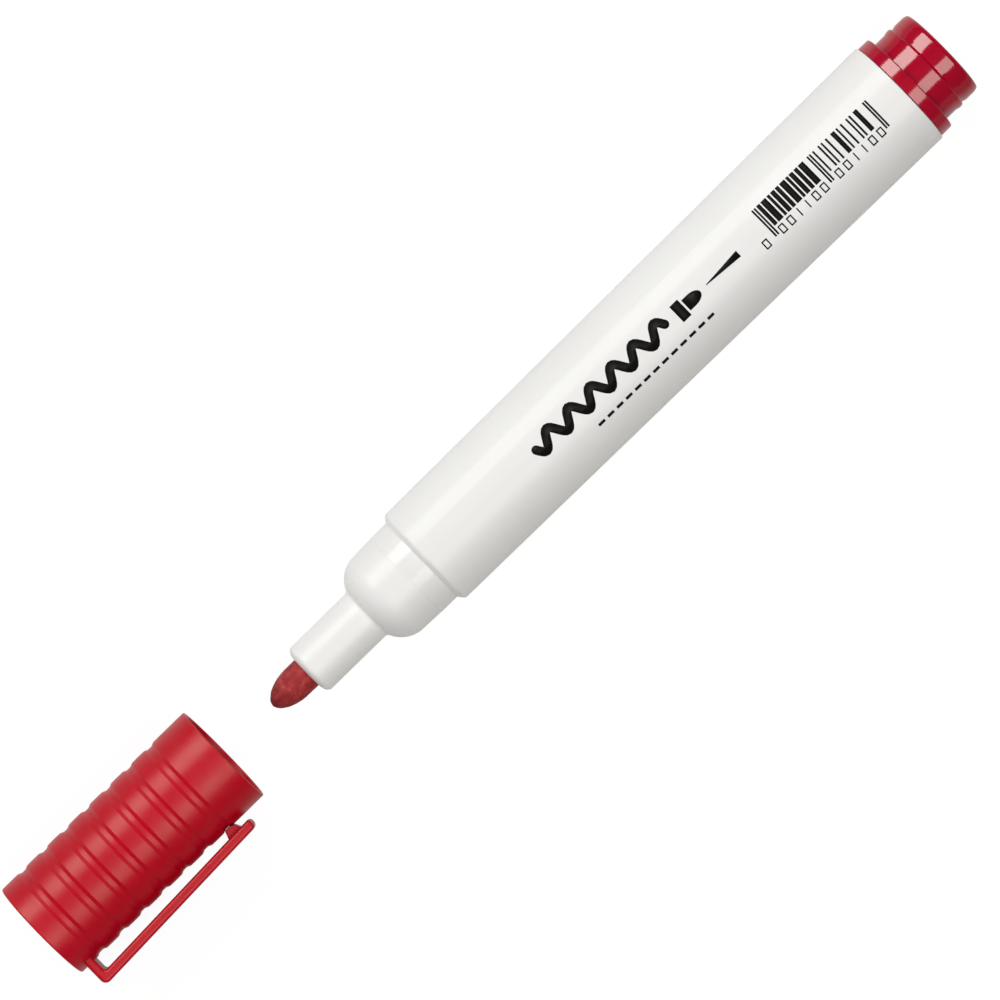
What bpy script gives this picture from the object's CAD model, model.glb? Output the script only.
"""Looks of the whiteboard marker: moulded plastic, felt nib, printed marks, studio and camera."""
import math

import bpy
from mathutils import Matrix, Vector


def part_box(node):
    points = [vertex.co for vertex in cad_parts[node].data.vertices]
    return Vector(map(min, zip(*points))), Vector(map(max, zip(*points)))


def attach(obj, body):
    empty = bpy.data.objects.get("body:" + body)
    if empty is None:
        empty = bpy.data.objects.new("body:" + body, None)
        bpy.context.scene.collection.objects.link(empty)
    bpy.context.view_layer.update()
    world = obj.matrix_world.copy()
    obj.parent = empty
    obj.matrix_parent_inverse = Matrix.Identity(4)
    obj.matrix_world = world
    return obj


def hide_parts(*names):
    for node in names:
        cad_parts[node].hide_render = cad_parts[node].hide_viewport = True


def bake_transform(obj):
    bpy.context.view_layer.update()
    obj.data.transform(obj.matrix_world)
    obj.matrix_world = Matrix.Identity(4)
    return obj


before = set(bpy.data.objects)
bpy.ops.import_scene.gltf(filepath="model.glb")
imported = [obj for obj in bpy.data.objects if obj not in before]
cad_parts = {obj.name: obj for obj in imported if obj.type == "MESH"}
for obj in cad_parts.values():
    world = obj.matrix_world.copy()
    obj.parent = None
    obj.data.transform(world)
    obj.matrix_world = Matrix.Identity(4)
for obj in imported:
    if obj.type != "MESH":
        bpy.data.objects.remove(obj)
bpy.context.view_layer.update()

MM = 0.001
SIDES = 128                     # facets round a turned piece
FILLET_STEPS = 4                # straight pieces in a rounded corner
CLIP_FILLET_STEPS = 8
SHARP_ANGLE = math.radians(30)  # faces that meet at more than this show an edge
HOLD = 0.04                     # mm, spacing of the points that keep long faces flat beside a fillet
MERGE_DISTANCE = 0.0005 * MM

SOFTBOX_DISTANCE = 0.9          # m, from the marker's axis
SOFTBOX_LENGTH = 1.0            # m, along the marker
CAMERA_HEIGHT = 1.107           # m, above the marker's axis
CAMERA_TURN = 44.35             # degrees, from the marker's axis to the picture's level
STAGE_SIZE = 6.0                # m, along each side of the floor and the tables
FLOOR_HEIGHT = -0.2 * MM
TABLE_HEIGHT = -0.3 * MM
REFLECTION_HEIGHT = -0.4 * MM

# ---- places, read from the frame; lengths on the marker itself are in millimetres ----


def size_of(node):
    """A node's lowest corner, and its size along X and its radius, in millimetres."""
    low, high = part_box(node)
    return low, (high.x - low.x) / MM, (high.y - low.y) / 2 / MM


barrel_low, BARREL_LENGTH, BARREL_REAR_RADIUS = size_of("barrel")
nose_low, _, GRIP_RADIUS = size_of("front_section")
nib_low, NIB_LENGTH, NIB_RADIUS = size_of("nib")
plug_low, PLUG_LENGTH, FLANGE_RADIUS = size_of("tail_plug")
cap_low, CAP_LENGTH, CAP_RADIUS = size_of("cap_shell")
seal_low, SEAL_LENGTH, SEAL_FLANGE_RADIUS = size_of("cap_inner_seal")
core_low, CORE_LENGTH, CORE_RADIUS = size_of("reservoir_core")
sleeve_low, SLEEVE_LENGTH, SLEEVE_RADIUS = size_of("reservoir_sleeve")
clip_low, clip_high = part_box("cap_clip")

AXIS_Y = barrel_low.y + BARREL_REAR_RADIUS * MM
AXIS_Z = (barrel_low.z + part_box("barrel")[1].z) / 2
RIM_X = barrel_low.x            # the barrel's front rim
CAP_END_X = cap_low.x           # the cap's closed end
NOSE_FRONT = (nose_low.x - RIM_X) / MM
NIB_TIP = (nib_low.x - RIM_X) / MM
PLUG_FRONT = (plug_low.x - RIM_X) / MM
PLUG_REAR = PLUG_FRONT + PLUG_LENGTH

# ---- sizes of the marker's details, in millimetres ----

BARREL_FRONT_RADIUS = 8.05
CREASE = -3.1                   # from the barrel's rim to the grip's crease
NIB_POINT_LENGTH = 4.8
GROOVE_COUNT = 7
GROOVE_FIRST = 4.03             # from the cap's closed end to the first groove's middle
GROOVE_PITCH = 4.074
GROOVE_DEPTH = 0.27


# ---- outlines ----

def rounded(corners, steps=FILLET_STEPS):
    """Rounds an outline's corners. A corner is (along, reach) or (along, reach, fillet radius)."""
    outline = []
    for index, (along, reach, *fillet) in enumerate(corners):
        here = Vector((along, reach))
        if not fillet:
            outline.append(here)
            continue
        before = (Vector(corners[index - 1][:2]) - here).normalized()
        after = (Vector(corners[(index + 1) % len(corners)][:2]) - here).normalized()
        half = before.angle(after) / 2
        run = fillet[0] / math.tan(half)
        centre = here + (before + after).normalized() * fillet[0] / math.sin(half)
        spoke = here + before * run - centre
        sweep = spoke.angle_signed(here + after * run - centre)
        outline.append(here + before * (run + HOLD))
        for step in range(steps + 1):
            outline.append(centre + Matrix.Rotation(-sweep * step / steps, 2) @ spoke)
        outline.append(here + after * (run + HOLD))
    return outline


def arc(centre, radii, start, end, steps):
    """Points on an ellipse's arc, from one angle in degrees to another, both ends included."""
    points = []
    for step in range(steps + 1):
        angle = math.radians(start + (end - start) * step / steps)
        points.append((centre[0] + radii[0] * math.cos(angle),
                       centre[1] + radii[1] * math.sin(angle)))
    return points


# ---- modelling ----

def draw(points, closed):
    """Draws a line of edges through points in the row frame, and stays in edit mode."""
    bpy.ops.object.select_all(action="DESELECT")
    bpy.ops.mesh.primitive_plane_add(size=MM, location=points[0])
    bpy.ops.object.mode_set(mode="EDIT")
    bpy.ops.mesh.merge(type="CENTER")
    route = list(points) + [points[0]] if closed else list(points)
    for here, following in zip(route, route[1:]):
        bpy.ops.mesh.extrude_vertices_move(
            TRANSFORM_OT_translate={"value": tuple(Vector(following) - Vector(here))})
    bpy.ops.mesh.select_all(action="SELECT")
    bpy.ops.mesh.remove_doubles(threshold=MERGE_DISTANCE)


def settle(name, material):
    """Leaves edit mode, names the piece and puts its place into its mesh."""
    bpy.ops.mesh.select_all(action="SELECT")
    bpy.ops.mesh.normals_make_consistent(inside=False)
    bpy.ops.object.mode_set(mode="OBJECT")
    bpy.ops.object.transform_apply(location=True, rotation=True, scale=True)
    bpy.ops.object.shade_smooth_by_angle(angle=SHARP_ANGLE)
    piece = bpy.context.object
    piece.name = name
    piece.data.name = name
    piece.data.materials.clear()
    piece.data.materials.append(material)
    return piece


def lathe(name, outline, start_x, ring, material):
    """Turns an outline round the marker's axis. A ring's outline is a loop clear of the axis."""
    points = [(start_x + along * MM, AXIS_Y + reach * MM, AXIS_Z) for along, reach in outline]
    draw(points, ring)
    bpy.ops.mesh.spin(steps=SIDES, angle=2 * math.pi, center=(0, AXIS_Y, AXIS_Z), axis=(1, 0, 0))
    bpy.ops.mesh.select_all(action="SELECT")
    bpy.ops.mesh.remove_doubles(threshold=MERGE_DISTANCE)
    return settle(name, material)


# ---- materials ----

class Finish:
    """A node material under construction: a Principled shader and Object coordinates."""

    def __init__(self, name):
        self.material = bpy.data.materials.new(name)
        self.material.use_nodes = True
        self.tree = self.material.node_tree
        self.shader = self.tree.nodes["Principled BSDF"]
        self.place = self.node("ShaderNodeTexCoord").outputs["Object"]

    def node(self, kind, **values):
        made = self.tree.nodes.new(kind)
        for key, value in values.items():
            setattr(made, key, value)
        return made

    def link(self, source, target):
        self.tree.links.new(source, target)

    def stretched(self, scale):
        """Object coordinates multiplied along each axis, to draw a pattern out."""
        mapping = self.node("ShaderNodeMapping")
        mapping.inputs["Scale"].default_value = scale
        self.link(self.place, mapping.inputs["Vector"])
        return mapping.outputs["Vector"]

    def noise(self, per_metre, detail=3.0, roughness=0.5, stretch=(1, 1, 1)):
        """A noise pattern with so many waves in a metre."""
        texture = self.node("ShaderNodeTexNoise")
        texture.inputs["Scale"].default_value = per_metre
        texture.inputs["Detail"].default_value = detail
        texture.inputs["Roughness"].default_value = roughness
        self.link(self.stretched(stretch), texture.inputs["Vector"])
        return texture.outputs["Fac"]

    def ramp(self, source, *stops):
        """Maps a value to colours or greys; each stop is (position, colour)."""
        ramp = self.node("ShaderNodeValToRGB")
        elements = ramp.color_ramp.elements
        for _ in range(len(stops) - 2):
            elements.new(0.5)
        for element, (position, colour) in zip(elements, stops):
            element.position = position
            element.color = (*colour, 1.0) if len(colour) == 3 else colour
        self.link(source, ramp.inputs["Fac"])
        return ramp.outputs["Color"]

    def grey(self, source, low, high):
        """Maps a value's middle range to a pair of greys."""
        return self.ramp(source, (0.3, (low,) * 3), (0.7, (high,) * 3))

    def bump(self, height, depth_mm, after=None):
        """Raises the surface by up to a depth in millimetres."""
        bump = self.node("ShaderNodeBump")
        bump.inputs["Distance"].default_value = depth_mm * MM
        bump.inputs["Strength"].default_value = 1.0
        self.link(height, bump.inputs["Height"])
        if after:
            self.link(after, bump.inputs["Normal"])
        return bump.outputs["Normal"]


def moulded(name, colour, shade, rough_low, rough_high, specular=0.5, flow=0.004, grain=0.0015):
    """Injection-moulded plastic: slow colour drift, uneven gloss, flow waves and a fine grain."""
    finish = Finish(name)
    drift = finish.noise(60, detail=2.0)
    finish.link(finish.ramp(drift, (0.35, shade), (0.65, colour)), finish.shader.inputs["Base Color"])
    gloss = finish.noise(420, detail=4.0)
    finish.link(finish.grey(gloss, rough_low, rough_high), finish.shader.inputs["Roughness"])
    finish.shader.inputs["Specular IOR Level"].default_value = specular
    waves = finish.noise(260, detail=2.0, stretch=(0.35, 1, 1))
    fine = finish.noise(5200, detail=2.0)
    normal = finish.bump(waves, flow)
    normal = finish.bump(fine, grain, after=normal)
    finish.link(normal, finish.shader.inputs["Normal"])
    return finish


def satin_before(finish, edge_x, rough_low, rough_high):
    """Gives a moulding a coarser, satin surface on the part of it before a place along X."""
    even_gloss = finish.shader.inputs["Roughness"].links[0].from_socket
    satin = finish.grey(finish.noise(900, detail=4.0), rough_low, rough_high)
    split = finish.node("ShaderNodeSeparateXYZ")
    finish.link(finish.place, split.inputs["Vector"])
    half_edge = 0.05 * MM
    share = finish.node("ShaderNodeMapRange")
    share.inputs["From Min"].default_value = edge_x - half_edge
    share.inputs["From Max"].default_value = edge_x + half_edge
    finish.link(split.outputs["X"], share.inputs["Value"])
    mix = finish.node("ShaderNodeMix", data_type="FLOAT")
    finish.link(share.outputs["Result"], mix.inputs["Factor"])
    finish.link(satin, mix.inputs["A"])
    finish.link(even_gloss, mix.inputs["B"])
    finish.link(mix.outputs["Result"], finish.shader.inputs["Roughness"])


def felt(name):
    """Pressed fibre wet with ink: soft blotches, a darker tip, fine fibres and pores."""
    finish = Finish(name)
    blotches = finish.noise(900, detail=5.0, roughness=0.55)
    base = finish.ramp(blotches, (0.34, (0.27, 0.011, 0.014)), (0.52, (0.36, 0.022, 0.024)),
                       (0.72, (0.46, 0.055, 0.050)))
    split = finish.node("ShaderNodeSeparateXYZ")
    finish.link(finish.place, split.inputs["Vector"])
    dark_length, tip_share = 3.0 * MM, 0.55
    tip = finish.node("ShaderNodeMapRange")
    tip.inputs["From Min"].default_value = nib_low.x
    tip.inputs["From Max"].default_value = nib_low.x + dark_length
    tip.inputs["To Min"].default_value = tip_share
    finish.link(split.outputs["X"], tip.inputs["Value"])
    soaked = finish.node("ShaderNodeVectorMath", operation="SCALE")
    finish.link(base, soaked.inputs[0])
    finish.link(tip.outputs["Result"], soaked.inputs["Scale"])
    finish.link(soaked.outputs["Vector"], finish.shader.inputs["Base Color"])
    finish.link(finish.grey(blotches, 0.8, 0.6), finish.shader.inputs["Roughness"])
    fibres = finish.noise(7000, detail=3.0, stretch=(0.12, 1, 1))
    pores = finish.noise(2400, detail=3.0, stretch=(0.6, 1, 1))
    normal = finish.bump(fibres, 0.02)
    normal = finish.bump(pores, 0.08, after=normal)
    finish.link(normal, finish.shader.inputs["Normal"])
    return finish.material


def ink(name):
    """Pad-printed black ink: a little uneven, less glossy than the plastic under it."""
    finish = Finish(name)
    cover = finish.noise(6000, detail=3.0)
    finish.link(finish.ramp(cover, (0.3, (0.005, 0.0045, 0.0045)), (0.75, (0.009, 0.008, 0.008))),
                finish.shader.inputs["Base Color"])
    finish.shader.inputs["Specular IOR Level"].default_value = 0.25
    finish.link(finish.grey(cover, 0.42, 0.55), finish.shader.inputs["Roughness"])
    finish.link(finish.bump(cover, 0.002), finish.shader.inputs["Normal"])
    return finish.material


# ---- the marker's pieces ----

def make_barrel(material):
    """A tapered tube: the chamfered front rim stands proud of the grip, the rear one is square."""
    seat = GRIP_RADIUS + 0.03
    front_bore = GRIP_RADIUS - 0.3
    seat_depth, rim_face, chamfer_end = 0.5, 0.14, 0.66
    rear_bore = BARREL_REAR_RADIUS - 1.25
    outline = rounded([
        (seat_depth, front_bore),
        (seat_depth, seat),
        (0.0, seat, 0.04),
        (0.0, seat + rim_face, 0.12),
        (chamfer_end, BARREL_FRONT_RADIUS, 0.6),
        (BARREL_LENGTH, BARREL_REAR_RADIUS, 0.12),
        (BARREL_LENGTH, rear_bore, 0.1),
    ])
    return lathe("barrel_shell", outline, RIM_X, True, material)


def make_front_section(material):
    """Rounded nose mouth, tube, dome, a slightly tapered grip with a crease, and the spigot."""
    mouth, tube, rim_length = NIB_RADIUS + 0.06, 4.04, 1.0
    dome_end, dome_radius, foot_fillet = -6.45, 4.5, 0.6
    grip_front, crease_depth = GRIP_RADIUS - 0.12, 0.045
    shoulder, spigot, spigot_end, pocket = 0.28, 6.5, 9.0, 6.0

    rim = arc((NOSE_FRONT + rim_length, mouth), (rim_length, tube - mouth), 180, 90, 10)
    centre = (dome_end, grip_front - dome_radius)
    foot_height = tube + foot_fillet - centre[1]
    foot_reach = dome_radius + foot_fillet
    foot = math.degrees(math.asin(foot_height / foot_reach))
    foot_centre = (dome_end - math.sqrt(foot_reach ** 2 - foot_height ** 2), tube + foot_fillet)
    dome = arc(foot_centre, (foot_fillet, foot_fillet), -90, -foot, 6)
    dome += arc(centre, (dome_radius, dome_radius), 180 - foot, 90, 18)[1:]
    inner_radius = dome_radius - (grip_front - pocket)
    inner_foot = math.degrees(math.asin((mouth - centre[1]) / inner_radius))
    inner = arc(centre, (inner_radius, inner_radius), 90, 180 - inner_foot, 10)

    outline = rim + [(NOSE_FRONT + rim_length + 0.05, tube), (dome[0][0] - HOLD, tube)] + dome
    outline += rounded([
        (dome_end + HOLD, grip_front),
        (CREASE - 0.2, GRIP_RADIUS - crease_depth, 0.5),
        (CREASE + 0.1, GRIP_RADIUS, 0.5),
        (shoulder, GRIP_RADIUS),
        (shoulder, spigot),
        (spigot_end, spigot),
        (spigot_end, pocket),
    ])
    outline += inner
    return lathe("nose_and_grip", outline, RIM_X, True, material)


def make_nib(material):
    """The bullet nib: a smooth point, roughened by its fibres."""
    shape, crowding = 0.55, 1.7     # exponents of the point's outline and of its steps
    point_steps, shaft_steps = 30, 16
    outline = [(NIB_TIP, 0.0)]
    for step in range(1, point_steps + 1):
        reach = NIB_POINT_LENGTH * (step / point_steps) ** crowding
        bulge = 1 - (1 - reach / NIB_POINT_LENGTH) ** 2
        outline.append((NIB_TIP + reach, NIB_RADIUS * bulge ** shape))
    start = NIB_TIP + NIB_POINT_LENGTH
    shaft = NOSE_FRONT + 0.6 - start
    outline += [(start + shaft * step / shaft_steps, NIB_RADIUS)
                for step in range(1, shaft_steps + 1)]
    rear, rear_cone = NIB_TIP + NIB_LENGTH, 1.5
    outline += [(rear - rear_cone, NIB_RADIUS), (rear, NIB_RADIUS / 2), (rear, 0.0)]
    nib = lathe("felt_nib", outline, RIM_X, False, material)

    fibres = bpy.data.textures.new("felt_unevenness", "CLOUDS")
    fibres.noise_scale = 0.6 * MM
    fibres.noise_depth = 3
    rough = nib.modifiers.new("felt_unevenness", "DISPLACE")
    rough.texture = fibres
    rough.texture_coords = "LOCAL"
    rough.strength = 0.10 * MM
    rough.mid_level = 0.45
    bpy.ops.object.modifier_apply(modifier=rough.name)
    return nib


def make_tail_plug(material):
    """Flange, neck, snap bead and rounded end section, hollow towards the barrel."""
    flange_front = BARREL_LENGTH + 0.08
    flange_rear = BARREL_LENGTH + 2.05
    neck, bead, end = 7.16, 7.33, 7.13
    neck_end, bead_front, bead_rear, notch, crown = 96.7, 97.35, 97.85, 98.12, 98.75
    spigot, spigot_bore, end_bore, floor = 6.95, 6.05, 5.9, 1.2
    outline = rounded([
        (PLUG_REAR - floor, 0.0),
        (PLUG_REAR - floor, end_bore, 0.3),
        (PLUG_FRONT, spigot_bore, 0.1),
        (PLUG_FRONT, spigot, 0.3),
        (flange_front, spigot),
        (flange_front, FLANGE_RADIUS, 0.12),
        (flange_rear, FLANGE_RADIUS - 0.03, 0.2),
        (flange_rear, neck, 0.08),
        (neck_end, neck),
        (bead_front, bead, 0.5),
        (bead_rear, bead - 0.02, 0.3),
        (notch, end - 0.18, 0.1),
        (crown, end, 1.4),
        (PLUG_REAR - 0.7, end, 1.4),
        (PLUG_REAR - 0.1, end - 0.2, 0.35),
        (PLUG_REAR, end - 0.7, 0.3),
        (PLUG_REAR, 0.0),
    ])
    return lathe("tail_plug_moulding", outline, RIM_X, False, material)


def cap_outside():
    """The cap's grooved outside, from its closed end to its mouth."""
    half_floor, wall = 0.335, 0.55
    crown, valley = CAP_RADIUS - 0.02, CAP_RADIUS - GROOVE_DEPTH
    corners = [(0.0, CAP_RADIUS, 0.25), (GROOVE_FIRST - half_floor - wall - 0.4, CAP_RADIUS, 2.0)]
    for index in range(GROOVE_COUNT):
        middle = GROOVE_FIRST + index * GROOVE_PITCH
        corners += [
            (middle - half_floor - wall, crown, 0.16),
            (middle - half_floor, valley, 0.4),
            (middle + half_floor, valley, 0.4),
            (middle + half_floor + wall, crown, 0.16),
            (middle + GROOVE_PITCH / 2, CAP_RADIUS, 20.0),
        ]
    return corners


def make_cap_shell(material):
    """The grooved cap, bored in steps, with a pocket for the inner cap's flange."""
    mouth_bore, bore, pocket = 7.35, 6.8, 7.2
    narrowing = CAP_LENGTH - 7.4
    floor, pocket_end = 1.3, 2.8
    outline = rounded([(0.0, 0.0)] + cap_outside() + [
        (CAP_LENGTH, CAP_RADIUS - 0.02, 0.16),
        (CAP_LENGTH, mouth_bore + 0.05, 0.16),
        (narrowing, mouth_bore),
        (narrowing - 2.0, bore),
        (pocket_end, bore),
        (pocket_end, pocket),
        (floor, pocket),
        (floor, 0.0),
    ])
    return lathe("cap_moulding", outline, CAP_END_X, False, material)


def make_seal(material):
    """The inner cap that closes round the nose tube."""
    start = (seal_low.x - CAP_END_X) / MM
    flange_end, lip_end = start + 0.9, start + SEAL_LENGTH
    tube, bore, lip = 5.6, 4.35, 0.5
    outline = rounded([
        (start, 0.0),
        (start, SEAL_FLANGE_RADIUS, 0.15),
        (flange_end, SEAL_FLANGE_RADIUS, 0.15),
        (flange_end, tube, 0.3),
        (lip_end, tube, 0.2),
        (lip_end, bore + lip, 0.1),
        (lip_end - lip, bore, 0.2),
        (flange_end, bore, 0.4),
        (flange_end, 0.0),
    ])
    return lathe("inner_cap", outline, CAP_END_X, False, material)


def make_reservoir(core_material, film_material):
    """The fibre reservoir, with a blind hole for the nib's rear end, and the film round it."""
    gap, film_thickness = 0.3, 0.15
    hole = NIB_RADIUS + gap
    hole_end = (nib_low.x - core_low.x) / MM + NIB_LENGTH + gap
    core = lathe("fibre_reservoir", rounded([
        (hole_end, 0.0),
        (hole_end, hole, 0.2),
        (0.0, hole, 0.2),
        (0.0, CORE_RADIUS, 0.4),
        (CORE_LENGTH, CORE_RADIUS, 0.4),
        (CORE_LENGTH, 0.0),
    ]), core_low.x, False, core_material)
    film = lathe("reservoir_film", [
        (0.0, SLEEVE_RADIUS - film_thickness),
        (0.0, SLEEVE_RADIUS),
        (SLEEVE_LENGTH, SLEEVE_RADIUS),
        (SLEEVE_LENGTH, SLEEVE_RADIUS - film_thickness),
    ], sleeve_low.x, True, film_material)
    return core, film


def bar_across(name, outline, width, edge_radius, material):
    """A bar as wide as told, with the outline of cap depth and reach as its side; round edges."""
    low = AXIS_Z - width / 2 * MM
    draw([(CAP_END_X + depth * MM, AXIS_Y - reach * MM, low) for depth, reach in outline], True)
    bpy.ops.mesh.edge_face_add()
    bpy.ops.mesh.extrude_region_move(TRANSFORM_OT_translate={"value": (0, 0, width * MM)})
    bar = settle(name, material)
    soften = bar.modifiers.new("moulded_edges", "BEVEL")
    soften.width = edge_radius * MM
    soften.segments = 5
    soften.limit_method = "ANGLE"
    soften.angle_limit = math.radians(60)
    soften.use_clamp_overlap = False
    bpy.ops.object.modifier_apply(modifier=soften.name)
    return bar


def clip_outlines():
    """The arm with its foot, and the nub that dips into the last groove, seen from the side."""
    foot, tip, thickness, foot_width = 1.25, 31.6, 1.5, 1.42
    foot_root = 5.0             # deep in the cap, cut away by the foot's seat
    root_reach, tip_reach = (AXIS_Y - clip_low.y) / MM, 10.37
    lean = (tip_reach - root_reach) / (tip - foot)

    def outer(depth):
        return root_reach + lean * (depth - foot)

    def inner(depth):
        return outer(depth) - thickness

    arm = rounded([
        (foot, foot_root),
        (foot, outer(foot), 0.95),
        (tip, outer(tip), 0.7),
        (tip, inner(tip), 0.6),
        (foot + foot_width, inner(foot + foot_width), 0.45),
        (foot + foot_width, foot_root),
    ], CLIP_FILLET_STEPS)
    sunk, flank = 0.5, 0.1      # how far the nub's root and its flanks' feet reach into the arm
    nub = rounded([
        (29.75, inner(29.75) + sunk),
        (30.0, inner(30.0) + flank),
        (29.5, CAP_RADIUS + 0.03, 0.15),
        (28.9, CAP_RADIUS - GROOVE_DEPTH + 0.03, 0.2),
        (28.0, CAP_RADIUS - GROOVE_DEPTH + 0.05, 0.2),
        (27.5, inner(27.5) + flank),
        (27.75, inner(27.75) + sunk),
    ], CLIP_FILLET_STEPS)
    return arm, nub


def make_clip(material):
    """The clip: an arm and its nub, each given its width, with the foot cut to sit in the cap."""
    width = (clip_high.z - clip_low.z) / MM
    nub_width = width - 2.4
    arm_outline, nub_outline = clip_outlines()
    clip = bar_across("clip_moulding", arm_outline, width, 0.5, material)
    nub = bar_across("clip_nub", nub_outline, nub_width, 0.12, material)
    seat_radius = CAP_RADIUS - 0.2
    seat = lathe("foot_seat", [(-1.0, 0.0), (-1.0, seat_radius), (4.0, seat_radius), (4.0, 0.0)],
                 CAP_END_X, False, material)
    bpy.context.view_layer.objects.active = clip
    for other, operation in ((nub, "UNION"), (seat, "DIFFERENCE")):
        combine = clip.modifiers.new(other.name, "BOOLEAN")
        combine.operation = operation
        combine.object = other
        bpy.ops.object.modifier_apply(modifier=combine.name)
        bpy.data.objects.remove(other)
    bpy.ops.object.select_all(action="DESELECT")
    clip.select_set(True)
    bpy.ops.object.shade_smooth_by_angle(angle=SHARP_ANGLE)
    flat = clip.modifiers.new("flat_faces", "WEIGHTED_NORMAL")
    flat.keep_sharp = True
    bpy.ops.object.modifier_apply(modifier=flat.name)
    return clip


# ---- printed marks: plain shapes, laid on the barrel's upper side ----

def stroke_outline(start, length, middle, swing, waves, width):
    """A wavy stroke of even width with round ends, as a closed outline."""
    steps = 16 * waves
    spine = [Vector((start + length * step / steps,
                     middle + swing * math.sin(2 * math.pi * waves * step / steps)))
             for step in range(steps + 1)]
    left, right = [], []
    for index, here in enumerate(spine):
        run = spine[min(index + 1, steps)] - spine[max(index - 1, 0)]
        side = Vector((-run.y, run.x)).normalized() * width / 2
        left.append(here + side)
        right.append(here - side)
    ends = []
    for centre, first in ((spine[-1], left[-1]), (spine[0], right[0])):
        spoke = first - centre
        ends.append([centre + Matrix.Rotation(-math.pi * turn / 8, 2) @ spoke
                     for turn in range(1, 8)])
    return left + ends[0] + right[::-1] + ends[1]


def block(start, end, low, high):
    """A plain rectangle."""
    return [(start, low), (end, low), (end, high), (start, high)]


def hollow_square(start, end, low, high, line):
    """A rectangle's frame, as four plain blocks."""
    return [block(start, start + line, low, high), block(end - line, end, low, high),
            block(start + line, end - line, low, low + line),
            block(start + line, end - line, high - line, high)]


def trial_stroke_and_dashes():
    """The wavy trial stroke and the row of dashes beside it."""
    marks = [stroke_outline(start=21.9, length=24.8, middle=0.2, swing=1.15, waves=6, width=1.3)]
    first, pitch, dash, dashes = 30.5, 1.75, 1.15, 13
    for index in range(dashes):
        start = first + pitch * index
        marks.append(block(start, start + dash, 3.65, 4.05))
    return marks


def nib_symbol_and_wedge():
    """A bullet nib seen from its side, and a wedge for a line that grows wider."""
    body = block(48.8, 50.3, -1.05, 1.85)
    low, high, shoulder, point = -0.55, 1.35, 51.7, 1.7
    middle = (low + high) / 2
    bullet = [(50.6, high), (50.6, low), (shoulder, low)]
    bullet += arc((shoulder, middle), (point, high - middle), -90, 90, 12)[1:-1]
    bullet.append((shoulder, high))
    wedge = [(54.6, 0.26), (60.8, -0.2), (60.8, 0.85), (54.6, 0.38)]
    return [body, bullet, wedge]


def made_up_bars():
    """Rows of bars that encode nothing, between longer guard bars."""
    marks = []
    low, high, guard_high, half_guard = -2.6, 1.1, 2.3, 0.14
    for guard in (66.24, 66.68, 76.88, 77.32, 87.55, 87.96):
        marks.append(block(guard - half_guard, guard + half_guard, low, guard_high))
    groups = ((67.05, (0.6, 0.95, 0.45, 0.7), (0.2, 0.25, 0.22)),
              (77.8, (0.28, 0.3, 0.28, 0.3, 0.7), (0.75, 0.3, 0.55)))
    bars_in_group = 10
    for place, widths, gaps in groups:
        for index in range(bars_in_group):
            bar = widths[index % len(widths)]
            marks.append(block(place, place + bar, low, high))
            place += bar + gaps[index % len(gaps)]
    return marks


def squares_and_ticks():
    """Hollow squares and ticks under the bars, where a number would stand."""
    low, high, line, width, pitch = 1.45, 2.8, 0.2, 0.95, 1.61
    marks = hollow_square(64.05, 64.05 + width, low, high, line)
    for first in (67.15, 78.05):
        for number in range(6):
            place = first + pitch * number
            if number in (2, 3):
                marks.append(block(place + 2 * line, place + 3 * line, low, high))
            else:
                marks += hollow_square(place, place + width, low, high, line)
    return marks


def printed_outlines():
    """Every mark, as (distance from the rim, distance across towards -Y) in millimetres."""
    return (trial_stroke_and_dashes() + nib_symbol_and_wedge() + made_up_bars()
            + squares_and_ticks())


def make_print(barrel, material):
    """Draws the marks flat above the barrel, lays them on it and gives them an ink's thickness."""
    height = AXIS_Z + (BARREL_REAR_RADIUS + 1.0) * MM
    shapes = []
    for number, outline in enumerate(printed_outlines()):
        draw([(RIM_X + along * MM, AXIS_Y - across * MM, height) for along, across in outline], True)
        bpy.ops.mesh.edge_face_add()
        shapes.append(settle(f"mark_{number}", material))
    bpy.ops.object.select_all(action="DESELECT")
    for shape in shapes:
        shape.select_set(True)
    bpy.context.view_layer.objects.active = shapes[0]
    bpy.ops.object.join()

    strip = 0.45                # mm, between the cuts that let the marks bend round the barrel
    bpy.ops.object.mode_set(mode="EDIT")
    for cut in range(-9, 11):
        bpy.ops.mesh.select_all(action="SELECT")
        bpy.ops.mesh.bisect(plane_co=(0, AXIS_Y - cut * strip * MM, 0), plane_no=(0, 1, 0))
    bpy.ops.mesh.select_all(action="SELECT")
    bpy.ops.mesh.quads_convert_to_tris()
    printed = settle("printed_marks", material)

    wrap = printed.modifiers.new("on_the_barrel", "SHRINKWRAP")
    wrap.target = barrel
    wrap.wrap_method = "PROJECT"
    wrap.use_project_z = True
    wrap.use_negative_direction = True
    wrap.use_positive_direction = False
    wrap.offset = 0.006 * MM
    bpy.ops.object.modifier_apply(modifier=wrap.name)
    thicken = printed.modifiers.new("ink_film", "SOLIDIFY")
    thicken.thickness = 0.012 * MM
    thicken.offset = 1.0
    bpy.ops.object.modifier_apply(modifier=thicken.name)
    return printed


# ---- camera and studio ----

def add_camera():
    """Straight above the marker, turned so that its axis runs to the picture's upper right."""
    camera = bpy.data.cameras.new("camera")
    camera.lens = 286.9
    camera.clip_start = 0.05
    holder = bpy.data.objects.new("camera", camera)
    holder.location = (-0.1 * MM, AXIS_Y - 1.65 * MM, AXIS_Z + CAMERA_HEIGHT)
    holder.rotation_euler = (0, 0, -math.radians(CAMERA_TURN))
    bpy.context.collection.objects.link(holder)
    bpy.context.scene.camera = holder


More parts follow.
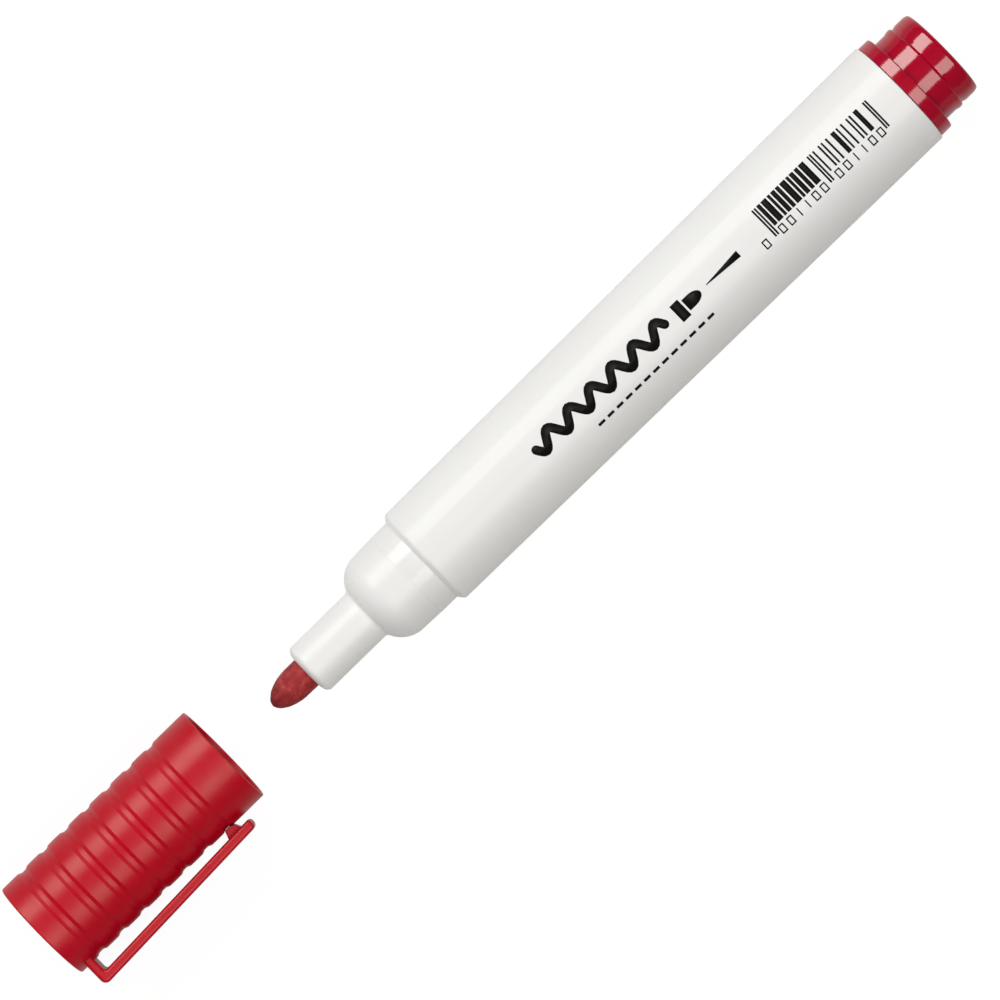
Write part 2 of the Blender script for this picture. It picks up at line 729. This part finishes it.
def add_softbox(name, side_degrees, spread_degrees, radiance, colour=(1.0, 1.0, 1.0)):
    """A long softbox over the marker; a positive angle leans it from straight above to -Y."""
    width = 2 * SOFTBOX_DISTANCE * math.tan(math.radians(spread_degrees))
    lamp = bpy.data.lights.new(name, "AREA")
    lamp.shape = "RECTANGLE"
    lamp.size = SOFTBOX_LENGTH
    lamp.size_y = width
    lamp.energy = math.pi * SOFTBOX_LENGTH * width * radiance
    lamp.color = colour
    holder = bpy.data.objects.new(name, lamp)
    angle = math.radians(side_degrees)
    holder.location = (0, AXIS_Y - SOFTBOX_DISTANCE * math.sin(angle),
                       AXIS_Z + SOFTBOX_DISTANCE * math.cos(angle))
    holder.rotation_euler = (angle, 0, 0)
    holder.visible_camera = False
    bpy.context.collection.objects.link(holder)
    return holder


def add_world():
    """A dim, slightly warm room."""
    world = bpy.data.worlds.new("dim_room")
    world.use_nodes = True
    background = world.node_tree.nodes["Background"]
    background.inputs["Color"].default_value = (1.0, 0.97, 0.95, 1.0)
    background.inputs["Strength"].default_value = 0.03
    bpy.context.scene.world = world


def stage_plane(name, height):
    """A level stage piece under the marker."""
    bpy.ops.object.select_all(action="DESELECT")
    bpy.ops.mesh.primitive_plane_add(size=STAGE_SIZE, location=(0, 0, height))
    plane = bpy.context.object
    plane.name = name
    return plane


def seen_only_by(thing, *rays):
    """Hides a stage piece from every kind of ray but those named."""
    for ray in ("camera", "diffuse", "glossy", "transmission", "shadow"):
        setattr(thing, f"visible_{ray}", ray in rays)


def across_the_marker(finish, low_y, high_y):
    """A value that runs from 0 to 1 between two places along Y."""
    split = finish.node("ShaderNodeSeparateXYZ")
    finish.link(finish.place, split.inputs["Vector"])
    across = finish.node("ShaderNodeMapRange")
    across.inputs["From Min"].default_value = low_y
    across.inputs["From Max"].default_value = high_y
    finish.link(split.outputs["Y"], across.inputs["Value"])
    return across.outputs["Result"]


def add_table():
    """The pale table that light bounces from, darker on the -Y side."""
    table = stage_plane("table", TABLE_HEIGHT)
    seen_only_by(table, "diffuse", "shadow")
    finish = Finish(table.name)
    across = across_the_marker(finish, -20 * MM, 10 * MM)
    shade = finish.ramp(across, (0.0, (0.51, 0.49, 0.46)), (1.0, (0.9, 0.9, 0.9)))
    finish.link(shade, finish.shader.inputs["Base Color"])
    finish.link(shade, finish.shader.inputs["Emission Color"])
    finish.shader.inputs["Emission Strength"].default_value = 0.33
    finish.shader.inputs["Roughness"].default_value = 1.0
    table.data.materials.append(finish.material)


def add_table_reflection():
    """The table as the glossy plastics mirror it: bright beside the marker, dim farther off."""
    sheen = stage_plane("table_in_reflections", REFLECTION_HEIGHT)
    seen_only_by(sheen, "glossy")
    finish = Finish(sheen.name)
    across = across_the_marker(finish, -60 * MM, 60 * MM)
    shade = finish.ramp(across, (0.22, (0.1, 0.1, 0.095)), (0.4, (0.5, 0.49, 0.47)),
                        (0.6, (0.6, 0.59, 0.57)), (0.958, (0.12, 0.12, 0.115)))
    finish.link(shade, finish.shader.inputs["Emission Color"])
    finish.shader.inputs["Emission Strength"].default_value = 1.0
    finish.shader.inputs["Base Color"].default_value = (0.05, 0.05, 0.05, 1.0)
    finish.shader.inputs["Roughness"].default_value = 1.0
    sheen.data.materials.append(finish.material)


def add_backdrop():
    """What the camera sees behind the marker: an evenly lit white floor and a white room."""
    floor = stage_plane("white_floor", FLOOR_HEIGHT)
    bpy.ops.object.select_all(action="DESELECT")
    bpy.ops.mesh.primitive_uv_sphere_add(segments=48, ring_count=24, radius=2.9)
    room = bpy.context.object
    room.name = "white_room"
    for backdrop, glow in ((floor, 0.93), (room, 1.0)):
        seen_only_by(backdrop, "camera")
        finish = Finish(backdrop.name)
        finish.shader.inputs["Base Color"].default_value = (0.1, 0.1, 0.1, 1.0)
        finish.shader.inputs["Roughness"].default_value = 1.0
        finish.shader.inputs["Specular IOR Level"].default_value = 0.0
        finish.shader.inputs["Emission Color"].default_value = (1.0, 1.0, 1.0, 1.0)
        finish.shader.inputs["Emission Strength"].default_value = glow
        backdrop.data.materials.append(finish.material)


def make_materials():
    """Every finish on the marker, by name."""
    white_shades = (0.865, 0.86, 0.86), (0.85, 0.845, 0.845)
    white = moulded("moulded_white", *white_shades, 0.10, 0.15, specular=0.25)
    nose = moulded("moulded_white_nose", *white_shades, 0.07, 0.11, specular=0.5)
    satin_before(nose, RIM_X + CREASE * MM, 0.27, 0.34)
    cap = moulded("moulded_red_satin", (0.54, 0.0005, 0.017), (0.51, 0.0005, 0.014), 0.30, 0.40,
                  specular=0.58, flow=0.015, grain=0.002)
    cap.shader.inputs["Specular Tint"].default_value = (1.0, 0.98, 0.85, 1.0)
    plug = moulded("moulded_red_gloss", (0.45, 0.0005, 0.022), (0.43, 0.0005, 0.02), 0.08, 0.13,
                   specular=1.0)
    plug.shader.inputs["IOR"].default_value = 1.65
    natural = moulded("natural_polythene", (0.72, 0.71, 0.67), (0.69, 0.68, 0.64), 0.38, 0.48)
    film = moulded("clear_film", (0.85, 0.80, 0.80), (0.82, 0.76, 0.76), 0.12, 0.2)
    return {
        "barrel": white.material,
        "nose": nose.material,
        "cap": cap.material,
        "plug": plug.material,
        "seal": natural.material,
        "film": film.material,
        "nib": felt("inked_felt"),
        "core": felt("inked_fibre"),
        "ink": ink("black_ink"),
    }


def place_pieces(materials):
    """Makes every piece and puts it on its body, in place of its CAD node."""
    barrel = make_barrel(materials["barrel"])
    nose = make_front_section(materials["nose"])
    nib = make_nib(materials["nib"])
    plug = make_tail_plug(materials["plug"])
    cap = make_cap_shell(materials["cap"])
    seal = make_seal(materials["seal"])
    core, film = make_reservoir(materials["core"], materials["film"])
    for piece, node, body, slot in (
            (barrel, "barrel", "pen", "white_plastic"),
            (nose, "front_section", "pen", "white_plastic"),
            (nib, "nib", "pen", "nib_fibre"),
            (plug, "tail_plug", "pen", "red_plastic"),
            (cap, "cap_shell", "cap", "red_plastic"),
            (seal, "cap_inner_seal", "seal", "natural_plastic"),
            (core, "reservoir_core", "pen", "inked_fibre"),
            (film, "reservoir_sleeve", "pen", "clear_film")):
        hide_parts(node)
        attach(piece, body)

    printed = make_print(barrel, materials["ink"])
    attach(printed, "pen")

    clip = make_clip(materials["cap"])
    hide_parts("cap_clip")
    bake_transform(clip)


def main():
    place_pieces(make_materials())
    add_camera()
    add_softbox("main_softbox", -47.7, 16.0, 3.2, (1.0, 1.0, 0.965))
    add_softbox("second_softbox", 27.7, 13.6, 1.9, (1.0, 0.985, 0.93))
    add_softbox("overhead_fill", 7.0, 20.0, 1.93).visible_glossy = False
    add_world()
    add_table()
    add_table_reflection()
    add_backdrop()
    bpy.context.scene.view_settings.view_transform = "Standard"


main()
